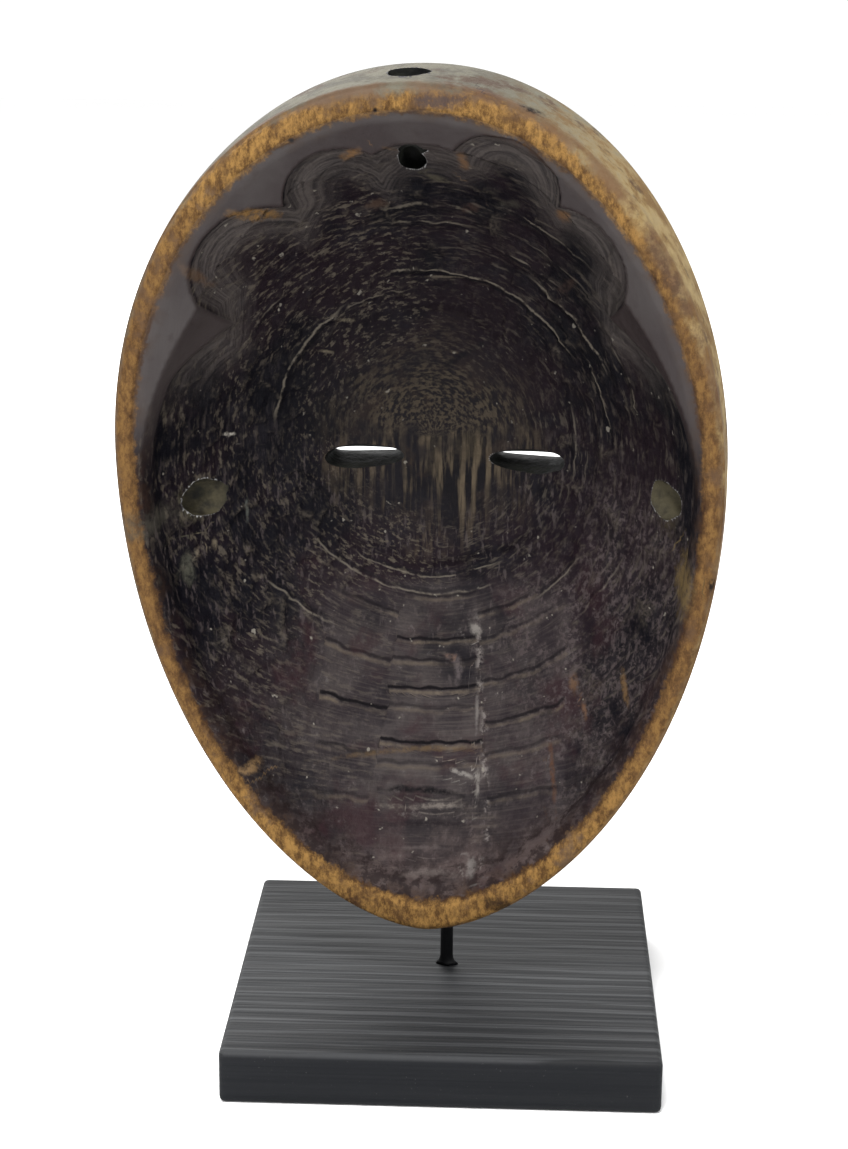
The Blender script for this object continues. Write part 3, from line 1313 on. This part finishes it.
def inner_wood(n, fibre, broad, patch, fine):
    """Dark hollow: aubergine and black, with light strokes along the rings and a worn, olive middle."""
    ring = n.attribute("ring")
    side = n.attribute("side")
    up = n.attribute("up")
    left = n.attribute("left")
    carved = n.attribute("carved")
    scallop = n.math("SUBTRACT", n.attribute("scallop_gap"), FAR)
    strokes = n.noise(1.0, 4, 0.6, n.polar(ring, side, up, 1.0, 8))
    flakes = n.noise(1.0, 4, 0.65, n.polar(ring, side, up, 1.0, 17))
    threads = n.noise(1.0, 3, 0.6, n.polar(ring, side, up, 1.9, 4))
    flecks = n.noise(1.0, 3, 0.6, n.stretched((620, 620, 150)))
    tone = n.mix(n.step(broad, 0.42, 0.6), HOLLOW_BLACK, AUBERGINE)
    tone = n.mix(n.step(patch, 0.5, 0.7, 0.0, 0.7), tone, SLATE)
    downwards = n.step(up, 0.35, -0.4, 0.15, 0.85)
    fleck_light = n.all_of(n.step(flecks, 0.54, 0.68), downwards, n.step(patch, 0.36, 0.5))
    tone = n.mix(fleck_light, tone, GREY_FLECK)
    on_left = n.step(left, 0.0, 1.0, 0.2, 0.85)
    flake_light = n.all_of(n.step(flakes, 0.52, 0.64), on_left, n.step(broad, 0.36, 0.54))
    tone = n.mix(flake_light, tone, PALE_FLAKE)
    on_right = n.step(left, 0.0, 1.0, 0.75, 0.3)
    stroke_light = n.all_of(n.step(strokes, 0.54, 0.66), on_right, n.step(patch, 0.38, 0.56))
    tone = n.mix(stroke_light, tone, PALE_STROKE)
    crest = n.all_of(n.step(n.attribute("crest"), 0.35, 0.75), n.step(fine, 0.42, 0.58, 0.1, 0.45))
    tone = n.mix(crest, tone, PALE_FLAKE)
    # Scallops: greyer near their upper edge, with cuts that follow it, and black below
    cuts = n.noise(1.0, 4, 0.65, n.polar(scallop, side, up, 1.3, 5))
    in_scallop = n.all_of(n.step(scallop, 0.3, 1.5), n.step(scallop, 17, 6), n.step(up, 0.2, 0.55))
    tone = n.mix(n.all_of(in_scallop, n.step(cuts, 0.38, 0.62, 0.3, 0.9)), tone, SCALLOP_GREY)
    # Strips below the eyes
    strips_worn = n.math("MULTIPLY", n.attribute("strip_middle"), 0.95)
    for name in ("strip_left", "strip_right"):
        share = n.math("MULTIPLY", n.attribute(name), 0.7)
        strips_worn = n.math("ADD", strips_worn, share, clamp=True)
    lower = n.all_of(n.step(ring, 40, 58), n.step(up, -0.4, -0.8))
    worn = n.mix(n.step(patch, 0.36, 0.66), STRIP_DARK, STRIP_WORN)
    worn = n.mix(n.step(threads, 0.45, 0.65, 0.0, 0.4), worn, STRIP_THREAD)
    inward = n.step(n.math("ABSOLUTE", side), 0.8, 0.3, 0.0, 0.6)
    share = n.math("MAXIMUM", n.all_of(lower, inward), strips_worn)
    tone = n.mix(n.all_of(share, n.step(broad, 0.34, 0.56, 0.25, 0.95)), tone, worn)
    near_chin = n.all_of(n.step(ring, 100, 116), n.step(ring, 132, 122))
    bottom = n.all_of(near_chin, inward, n.step(patch, 0.36, 0.6, 0.3, 1.0))
    tone = n.mix(bottom, tone, CHIN_WORN)
    red = n.all_of(lower, n.step(n.noise(40, 5, 0.6), 0.5, 0.66, 0.0, 0.7))
    tone = n.mix(red, tone, WINE_RED)
    lower_right = n.all_of(n.step(side, -0.2, -0.5), n.step(up, 0.1, -0.35), n.step(ring, 44, 58))
    dust = n.step(n.noise(520, 4, 0.7), 0.5, 0.62, 0.1, 0.8)
    dusty = n.all_of(lower_right, n.step(patch, 0.34, 0.52), dust)
    tone = n.mix(dusty, tone, DUST)
    scuffs = n.all_of(lower, n.step(n.noise(300, 4, 0.75), 0.58, 0.72), n.step(patch, 0.45, 0.6))
    tone = n.mix(n.all_of(scuffs, 0.5), tone, SCUFF)
    ragged = n.about_half(n.noise(260, 3, 0.6), 1.2)
    stop_depth = n.math("MULTIPLY", n.attribute("stop_depth"), 1.15, clamp=True)
    stop_line = n.math("ADD", n.attribute("stop_line"), ragged)
    tone = n.mix(n.all_of(n.near_line(stop_line, 0.6, 0.15), stop_depth), tone, STOP_DARK)
    beside = n.near_line(n.math("SUBTRACT", stop_line, 1.2), 0.8, 0.1)
    pale = n.all_of(beside, stop_depth, n.step(patch, 0.4, 0.6, 0.1, 0.7))
    tone = n.mix(pale, tone, STOP_PALE)
    seam = n.all_of(n.attribute("seam"), n.step(n.noise(170, 5, 0.7), 0.48, 0.6))
    tone = n.mix(seam, tone, SEAM_PALE)
    # Worn middle, with upright fibres in its lower half and strokes round its top
    disc = n.attribute("disc")
    disc_edge = n.all_of(disc, n.step(n.math("ADD", ring, n.math("MULTIPLY", patch, 34)), 57, 33))
    below = n.step(n.math("ADD", up, patch), 0.9, 0.3)
    fibre_light = n.mix(n.step(fibre, 0.43, 0.6), FIBRE_DARK, FIBRE_OLIVE)
    round_light = n.mix(n.step(strokes, 0.42, 0.6), DISC_DARK, DISC_WORN)
    disc_tone = n.mix(below, round_light, fibre_light)
    disc_tone = n.mix(n.step(n.noise(44, 4, 0.6), 0.48, 0.64, 0.0, 0.85), disc_tone, DISC_STAIN)
    disc_tone = n.mix(n.step(n.noise(75, 4, 0.6), 0.54, 0.7, 0.0, 0.5), disc_tone, DISC_BROWN)
    tone = n.mix(disc_edge, tone, disc_tone)
    # Light ledges, each with a shadow under it
    broken = n.step(n.noise(150, 4, 0.65), 0.4, 0.52, 0.05, 1.0)
    ledge_light = n.attribute("ledge_light")
    ledge = n.math("ADD", n.attribute("ledge"), ragged)
    shade = n.near_line(n.math("ADD", ledge, 1.3), 1.0, 0.3)
    tone = n.mix(n.all_of(shade, ledge_light), tone, LEDGE_SHADE)
    tone = n.mix(n.all_of(n.near_line(ledge, 0.55, 0.1), ledge_light, broken), tone, LEDGE_LIGHT)
    # A few bright specks of dust and chipped fibre
    speck = n.step(n.noise(330, 2, 0.5), 0.71, 0.76)
    tone = n.mix(n.all_of(speck, carved, 0.8), tone, BRIGHT_SPECK)
    # The smooth bevel, grey brown with darker stains
    bevel = n.mix(n.step(broad, 0.38, 0.62), BEVEL_BROWN, BEVEL_GREY)
    bevel = n.mix(n.step(n.noise(150, 5, 0.65), 0.56, 0.74, 0.0, 0.6), bevel, BEVEL_STAIN)
    tone = n.mix(n.all_of(n.step(carved, 0.4, 0.12), n.step(up, -0.05, 0.4)), tone, bevel)
    return tone, carved


# Small marks: middle x, depth and z, half sizes across and up, tilt in degrees, strength, and display colour
MARKS = (
    ((47, 14, 73), (9, 3.2), -10, 0.9, (135, 102, 59)),
    ((64, 9, 56), (9, 2.2), -58, 0.6, (94, 71, 51)),
    ((18, 12, 91), (5.5, 2.2), 28, 0.85, (126, 94, 61)),
    ((16, 18, 72), (5.5, 2.4), 14, 0.4, (96, 74, 58)),
    ((-12.5, 14, 88), (2.6, 5.4), 0, 0.85, (115, 87, 63)),
    ((-11.5, 20, 71), (4.4, 2.2), 20, 0.35, (88, 66, 56)),
    ((-41, 13, 73), (4.2, 3.2), 35, 0.85, (119, 89, 63)),
    ((-24, 21, 73.5), (5.6, 2.4), 8, 0.35, (86, 82, 72)),
    ((1.6, 19, 87.2), (4.3, 4.4), 0, 1.0, (13, 17, 16)),
    ((-2.5, 19, 81.4), (6.0, 1.6), -22, 0.6, (92, 86, 72)),
    ((7, 18, 92), (3.4, 1.0), -30, 0.6, (101, 79, 56)),
    ((-40, 46, 48), (6, 2.4), 48, 0.5, (78, 62, 54)),
    ((60, 36, -25), (0.7, 5.5), 0, 0.5, (115, 119, 112)),
    ((36, 40, 23), (3.2, 1.0), -12, 0.8, (128, 118, 100)),
    ((29, 44, 33), (3.4, 1.1), -8, 0.7, (128, 118, 100)),
    ((64, 28, 0), (2.0, 1.0), -20, 1.0, (200, 192, 180)),
    ((74, 14, -38), (2.4, 6.5), 8, 0.7, (88, 87, 76)),
    ((72, 20, -34), (1.0, 2.6), 6, 0.8, (119, 108, 93)),
    ((68, 20, -33), (1.0, 3.0), 6, 0.8, (115, 104, 88)),
    ((54, 3, -97), (4.2, 2.0), -18, 0.9, (135, 108, 76)),
    ((-43, 20, -76), (2.4, 4.2), 8, 0.7, (110, 83, 61)),
    ((-47, 14, -82), (1.4, 3.6), 12, 0.7, (117, 87, 66)),
    ((-38, 18, -100), (1.3, 11), 12, 0.65, (96, 66, 48)),
    ((-60, 10, -72), (1.6, 6), 14, 0.7, (119, 92, 61)),
    ((-5, 40, -78), (2.0, 5.0), 4, 0.55, (112, 102, 102)),
    ((-3, 42, -74.5), (4.0, 1.1), -6, 0.7, (119, 96, 85)),
    ((9, 36, -100.5), (30, 1.2), 2, 0.6, (101, 81, 56)),
    ((-10, 46, -66), (3.2, 2.4), -50, 0.75, (142, 136, 130)),
    ((-12, 38, -90), (0.9, 9), 3, 0.55, (132, 126, 122)),
    ((-9, 36, -106), (6.0, 1.0), -10, 0.75, (150, 144, 138)),
    ((-14, 34, -108), (1.0, 5), 3, 0.65, (140, 134, 128)),
    ((-14, 20, -128), (3.0, 3.4), 8, 0.6, (132, 126, 122)),
    ((3, 30, -110.9), (19, 1.5), -2, 1.0, (8, 5, 8)),
    ((-2, 26, -114.9), (13, 1.1), 4, 0.75, (126, 117, 110)),
    ((13, 26, -115.2), (6, 1.0), -6, 0.65, (112, 104, 96)),
    ((0, 22, -118.9), (18, 1.4), 2, 0.85, (22, 14, 19)),
    ((-1, 14, -131), (12, 1.2), 3, 0.5, (112, 102, 98)),
    ((3, 18, -125), (13, 0.9), 1, 0.45, (100, 90, 88)),
    ((25, 30, -70), (9, 5), 24, 0.5, (46, 24, 28)),
    ((-24, 8, -137), (11, 3.4), -24, 0.75, (18, 12, 16)),
    ((22, 6, -138), (9, 3.4), 24, 0.75, (44, 24, 24)),
    ((-5, 60, 21), (13, 1.8), 32, 0.85, (16, 14, 20)),
    ((-7, 60, -9), (7.6, 6.6), 0, 0.6, (66, 58, 46)),
    ((4, 50, -13), (4, 11), 0, 0.45, (70, 62, 50)),
    ((-2, 46, 47), (9, 0.7), 0, 0.6, (120, 110, 96)),
    ((86, 14, -19), (16, 6.5), 0, 0.55, (84, 80, 70)),
    ((72.5, 22, -18), (5.2, 8.6), 0, 0.95, (84, 79, 62)),
    ((-71, 33, -17), (4.6, 8.2), 0, 0.8, (72, 64, 46)),
    ((-78, 12, -33), (4.5, 11), -6, 0.8, (115, 96, 63)),
    ((-8, 4, 107), (10, 3.2), 4, 0.85, (80, 68, 66)),
    ((-72, 2, 60), (3.4, 20), 27, 0.7, (78, 58, 46)),
    ((-34, 3, 104), (5.5, 0.5), -24, 1.0, (30, 20, 16)),
    ((-86, 0, -30), (1.2, 3.4), 0, 1.0, (30, 20, 16)),
)
# The same on the face side: the line between the lips, and worn dark places beside the nose
FACE_MARKS = (
    ((0, 64, -88), (15, 0.9), 0, 0.9, (40, 28, 22)),
    ((0, 64, -97), (11, 1.6), 0, 0.5, (72, 54, 42)),
    ((0, 76, -57), (9, 1.3), 0, 0.6, (58, 42, 33)),
    ((12, 68, -40), (1.6, 13), -10, 0.5, (84, 64, 50)),
    ((-12, 68, -40), (1.6, 13), 10, 0.5, (84, 64, 50)),
)
# Wormholes in the rim and the bevel: middle x, depth and z, and radius
DARK_SPOTS = (
    ((9, 0, 104.5), 1.0),
    ((33, 3, 96), 1.1),
    ((-41, 9, 86), 1.1),
)


# Depth of the fine relief in metres: mask, holes, board and rod
MASK_RELIEF = 0.0009
BORE_RELIEF = 0.0006
BOARD_RELIEF = 0.0005
ROD_RELIEF = 0.0002
# Range of y in metres over which the cream of the outside fades in towards the rim
CREAM_FADE = (-0.035, 0.005)
# Ranges of the distance from the mask's middle, in metres, between which a tie hole's wall is olive
MOUTH_START = (0.058, 0.062)
MOUTH_END = (0.084, 0.078)
# Dark middle of the left tie hole: place and half sizes in the mask's own millimetres
TIE_PIT = ((72, 26, -17), (6.4, 7.6))
# How far below the board's top its finish changes to that of the sides, in metres
BOARD_EDGE = (0.0008, 0.0022)


def mask_material():
    """Worn wood: the dark hollow, the bare rim, the chalky outside and face, and the painted marks."""
    n = Nodes("worn_mask_wood")
    fibre = n.noise(1.0, 5, 0.6, n.stretched((520, 520, 34)))
    broad = n.noise(24, 5, 0.6)
    patch = n.noise(75, 6, 0.65)
    fine = n.noise(900, 3, 0.6)
    ragged = n.about_half(n.noise(330, 6, 0.75), 6.0)
    inner, carved = inner_wood(n, fibre, broad, patch, fine)
    across = n.math("SUBTRACT", n.attribute("across"), ACROSS_SHIFT)
    bare = n.attribute("bare")
    right = n.attribute("round_side")
    # Bare rim: tan and gold end grain, browner in patches and along its inner edge
    grain = n.noise(1.0, 6, 0.8, n.stretched((460, 460, 230)))
    gold = n.mix(n.step(grain, 0.36, 0.62), RIM_BROWN, RIM_GOLD)
    gold = n.mix(n.step(n.noise(120, 6, 0.7), 0.46, 0.66, 0.0, 0.7), gold, RIM_UMBER)
    gold = n.mix(n.step(n.noise(60, 5, 0.7), 0.54, 0.7, 0.0, 0.6), gold, RIM_GREY)
    gold = n.mix(n.step(n.math("ABSOLUTE", right), 0.6, 0.95, 0.0, 0.5), gold, RIM_SIDE)
    edge = n.math("ADD", across, ragged)
    inner_edge = n.step(edge, -1.0, 0.4)
    along_edge = n.all_of(n.step(edge, 2.0, 0.0), n.step(patch, 0.4, 0.6, 0.3, 0.9))
    gold = n.mix(along_edge, gold, RIM_INNER_EDGE)
    near = n.all_of(n.step(edge, -4.5, -0.2), n.step(n.noise(130, 5, 0.65), 0.42, 0.6, 0.1, 0.8))
    inner = n.mix(near, inner, HOLLOW_EDGE)
    low_rim = n.all_of(n.step(edge, -13, -3), n.step(n.attribute("up"), -0.5, -0.85))
    mottled = n.step(n.noise(190, 6, 0.75), 0.45, 0.57, 0.0, 0.8)
    inner = n.mix(n.all_of(low_rim, mottled), inner, CHIN_EDGE)
    # Outside: greenish grey chalk at the top, cream on the right, with brown patches
    cloudy = n.noise(100, 6, 0.7)
    chalk = n.mix(n.step(cloudy, 0.38, 0.6), CHALK_DARK, CHALK_GREY)
    cream = n.mix(n.step(cloudy, 0.38, 0.6), CREAM_BROWN, CREAM)
    near_rim = n.step(n.position()[1], *CREAM_FADE)
    cream_side = n.math("ADD", right, n.about_half(cloudy, 1.2))
    chalk = n.mix(n.all_of(n.step(cream_side, -0.2, -0.75), near_rim), chalk, cream)
    brown_share = n.step(n.noise(62, 6, 0.7), 0.5, 0.62, 0.0, 0.85)
    chalk = n.mix(n.all_of(brown_share, n.step(near_rim, 0.0, 1.0, 0.35, 0.9)), chalk, CHALK_BROWN)
    old_paint = n.step(n.math("ADD", bare, ragged), -6.5, -2.0, 0.0, 0.75)
    chalk = n.mix(n.all_of(old_paint, n.step(n.noise(80, 5, 0.6), 0.36, 0.56)), chalk, RIM_PAINT)
    wood = n.mix(n.step(patch, 0.4, 0.6), FACE_WOOD_DARK, FACE_WOOD)
    face_chalk = n.step(n.noise(85, 7, 0.7), 0.38, 0.54, 0.15, 0.85)
    carved_face = n.mix(face_chalk, wood, FACE_CHALK)
    outside = n.mix(n.attribute("carved_face"), chalk, carved_face)
    rim = n.mix(n.step(n.math("ADD", bare, ragged), -1.4, 1.6), outside, gold)
    whole = n.mix(inner_edge, inner, rim)
    # Painted marks, each with a ragged and speckled edge
    warp = n.noise(260, 5, 0.7)
    along = n.attribute("mark_along")
    upward = n.attribute("mark_up")
    squares = n.math("ADD", n.math("MULTIPLY", along, along), n.math("MULTIPLY", upward, upward))
    within = n.inside_mark(n.math("SQRT", squares), warp)
    speckle = n.step(n.noise(420, 4, 0.7), 0.34, 0.54, 0.2, 1.0)
    mark_share = n.all_of(within, n.attribute("mark_strength"), speckle)
    whole = n.mix(mark_share, whole, n.attribute("mark_colour", "Color"))
    for middle, radius in DARK_SPOTS:
        whole = n.mix(n.mark(middle, (radius, radius), warp), whole, WORMHOLE)
    n.put(n.shader.inputs["Base Color"], whole)
    satin = n.all_of(n.step(carved, 0.5, 0.1), n.step(n.attribute("up"), -0.05, 0.4))
    rough = n.mix(inner_edge, n.step(satin, 0.0, 1.0, 0.64, 0.42), (0.78, 0.78, 0.78))
    n.put(n.shader.inputs["Roughness"], n.math("ADD", rough, n.about_half(fine, 0.2)))
    n.put(n.shader.inputs["Specular IOR Level"], n.step(satin, 0.0, 1.0, 0.08, 0.28))
    relief = n.math("ADD", n.math("MULTIPLY", fibre, 0.6), n.math("MULTIPLY", n.noise(430, 4, 0.6), 0.6))
    relief = n.math("SUBTRACT", relief, RELIEF_MEAN)
    strength = n.math("MAXIMUM", n.step(carved, 0.1, 0.5, 0.18, 1.0), inner_edge)
    n.put(n.shader.inputs["Normal"], n.bump(n.math("MULTIPLY", relief, strength), MASK_RELIEF, 0.7))
    return n.material


def bore_material():
    """Wood inside the holes and slits: dark, and olive grey near the mouths of the two tie holes."""
    n = Nodes("bored_wood")
    dust = n.noise(140, 5, 0.65)
    aside = n.math("ABSOLUTE", n.math("SUBTRACT", n.position()[0], MASK_PLACE.x))
    dark = n.mix(n.step(dust, 0.4, 0.64), BORE_BLACK, BORE_GREY)
    olive = n.mix(n.step(dust, 0.4, 0.64), MOUTH_OLIVE, MOUTH_PALE)
    around_pit = n.math("SUBTRACT", 1.0, n.mark(*TIE_PIT, dust))
    mouth = n.all_of(n.step(aside, *MOUTH_START), n.step(aside, *MOUTH_END), around_pit)
    n.put(n.shader.inputs["Base Color"], n.mix(mouth, dark, olive))
    n.put(n.shader.inputs["Roughness"], n.step(dust, 0.3, 0.7, 0.6, 0.85))
    n.shader.inputs["Specular IOR Level"].default_value = 0.15
    n.put(n.shader.inputs["Normal"], n.bump(n.noise(500, 4, 0.6), BORE_RELIEF, 0.6))
    return n.material


def base_material():
    """Black-stained softwood: grey bands of grain with darker streaks, plain on the sides."""
    n = Nodes("black_stained_softwood")
    height = n.position()[2]
    lines = n.stretched((8, 900, 900))
    streak = n.noise(1.0, 6, 0.6, lines)
    bands = n.tree.nodes.new("ShaderNodeTexWave")
    bands.bands_direction = "Y"
    bands.inputs["Scale"].default_value = 52
    bands.inputs["Distortion"].default_value = 5.5
    bands.inputs["Detail"].default_value = 3.0
    bands.inputs["Detail Scale"].default_value = 0.6
    n.tree.links.new(n.stretched((0.25, 1, 1)), bands.inputs["Vector"])
    tone = n.mix(n.step(bands.outputs["Fac"], 0.5, 0.8), BOARD_DARK, BOARD_GREY)
    tone = n.mix(n.step(streak, 0.48, 0.56, 0.0, 0.75), tone, BOARD_STREAK)
    side = n.step(n.math("SUBTRACT", BASE_TOP, height), *BOARD_EDGE)
    tone = n.mix(side, tone, BOARD_SIDE)
    speck = n.step(n.noise(1500, 2, 0.5), 0.72, 0.78)
    tone = n.mix(n.math("MULTIPLY", speck, 0.5), tone, BOARD_SPECK)
    n.put(n.shader.inputs["Base Color"], tone)
    n.put(n.shader.inputs["Roughness"], n.step(streak, 0.3, 0.7, 0.62, 0.8))
    n.shader.inputs["Specular IOR Level"].default_value = 0.2
    relief = n.math("ADD", n.math("MULTIPLY", streak, 0.7), n.math("MULTIPLY", n.noise(800, 3, 0.6), 0.3))
    n.put(n.shader.inputs["Normal"], n.bump(relief, BOARD_RELIEF, 0.5))
    return n.material


def rod_material():
    """Satin black paint, a little mottled."""
    n = Nodes("black_rod")
    mottle = n.noise(600, 4, 0.6)
    n.put(n.shader.inputs["Base Color"], n.mix(mottle, ROD_BLACK, ROD_SHEEN))
    n.put(n.shader.inputs["Roughness"], n.step(mottle, 0.3, 0.7, 0.4, 0.6))
    n.shader.inputs["Specular IOR Level"].default_value = 0.1
    n.put(n.shader.inputs["Normal"], n.bump(mottle, ROD_RELIEF, 0.5))
    return n.material


def floor_material():
    """Almost white, like the photograph's ground."""
    n = Nodes("pale_floor")
    shade = n.noise(3, 3, 0.5)
    n.put(n.shader.inputs["Base Color"], n.mix(shade, (0.86, 0.86, 0.86), (0.9, 0.9, 0.9)))
    n.put(n.shader.inputs["Roughness"], n.step(shade, 0.3, 0.7, 0.85, 0.95))
    return n.material


# Half the side of the floor in metres
FLOOR_HALF = 4
# Lamps: place in metres, diameter in metres and power in watts
LAMPS = {
    "key": ((0.25, 0.8, 1.5), 0.5, 34),
    "fill": ((-0.9, 0.9, 0.7), 0.9, 4),
    "front": ((0.5, -1.3, 1.1), 1.4, 32),
}
LAMP_AIM = Vector((0, 0, 0.16))
WORLD_STRENGTH = 1.1


def make_floor():
    """A square sheet under the board."""
    corners = [(-1, -1, 0), (1, -1, 0), (1, 1, 0), (-1, 1, 0)]
    floor = new_object("floor", np.array(corners, float) * FLOOR_HALF, [np.array([[0, 1, 2, 3]])])
    floor.data.materials.append(floor_material())


def add_lamp(name, place_at, size, power):
    """A round area lamp that looks at the middle of the object."""
    light = bpy.data.lights.new(name, "AREA")
    light.shape = "DISK"
    light.size = size
    light.energy = power
    lamp = bpy.data.objects.new(name, light)
    lamp.location = place_at
    aim = LAMP_AIM - Vector(place_at)
    lamp.rotation_euler = aim.to_track_quat("-Z", "Y").to_euler()
    bpy.context.scene.collection.objects.link(lamp)


def light_scene():
    """An even white surrounding and three lamps, shown without a film curve for the photo's white ground."""
    world = bpy.data.worlds.new("soft_studio")
    world.use_nodes = True
    background = world.node_tree.nodes["Background"]
    background.inputs["Color"].default_value = (1, 1, 1, 1)
    background.inputs["Strength"].default_value = WORLD_STRENGTH
    bpy.context.scene.world = world
    bpy.context.scene.view_settings.view_transform = "Standard"
    for name, lamp in LAMPS.items():
        add_lamp(name, *lamp)


def add_camera():
    """The photograph's camera: place, direction, roll and angle of view."""
    lens = bpy.data.cameras.new("photo_view")
    lens.sensor_fit = "VERTICAL"
    lens.sensor_height = 36
    lens.lens = FOCAL_PIXELS * lens.sensor_height / PHOTO_HEIGHT
    camera = bpy.data.objects.new("photo_view", lens)
    camera.location = CAMERA_PLACE
    camera.rotation_mode = "QUATERNION"
    level = Vector(CAMERA_LOOK).to_track_quat("-Z", "Y")
    camera.rotation_quaternion = level @ Quaternion((0, 0, 1), CAMERA_ROLL)
    bpy.context.scene.collection.objects.link(camera)
    bpy.context.scene.camera = camera


def dress(piece, node):
    """Gives a piece to the CAD node that it replaces, with that node's material slot."""
    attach(piece, "root")
    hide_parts(node)


add_camera()
light_scene()
make_floor()
dress(make_mask(), "mask")
dress(make_base(), "base")
dress(make_rod(), "rod")
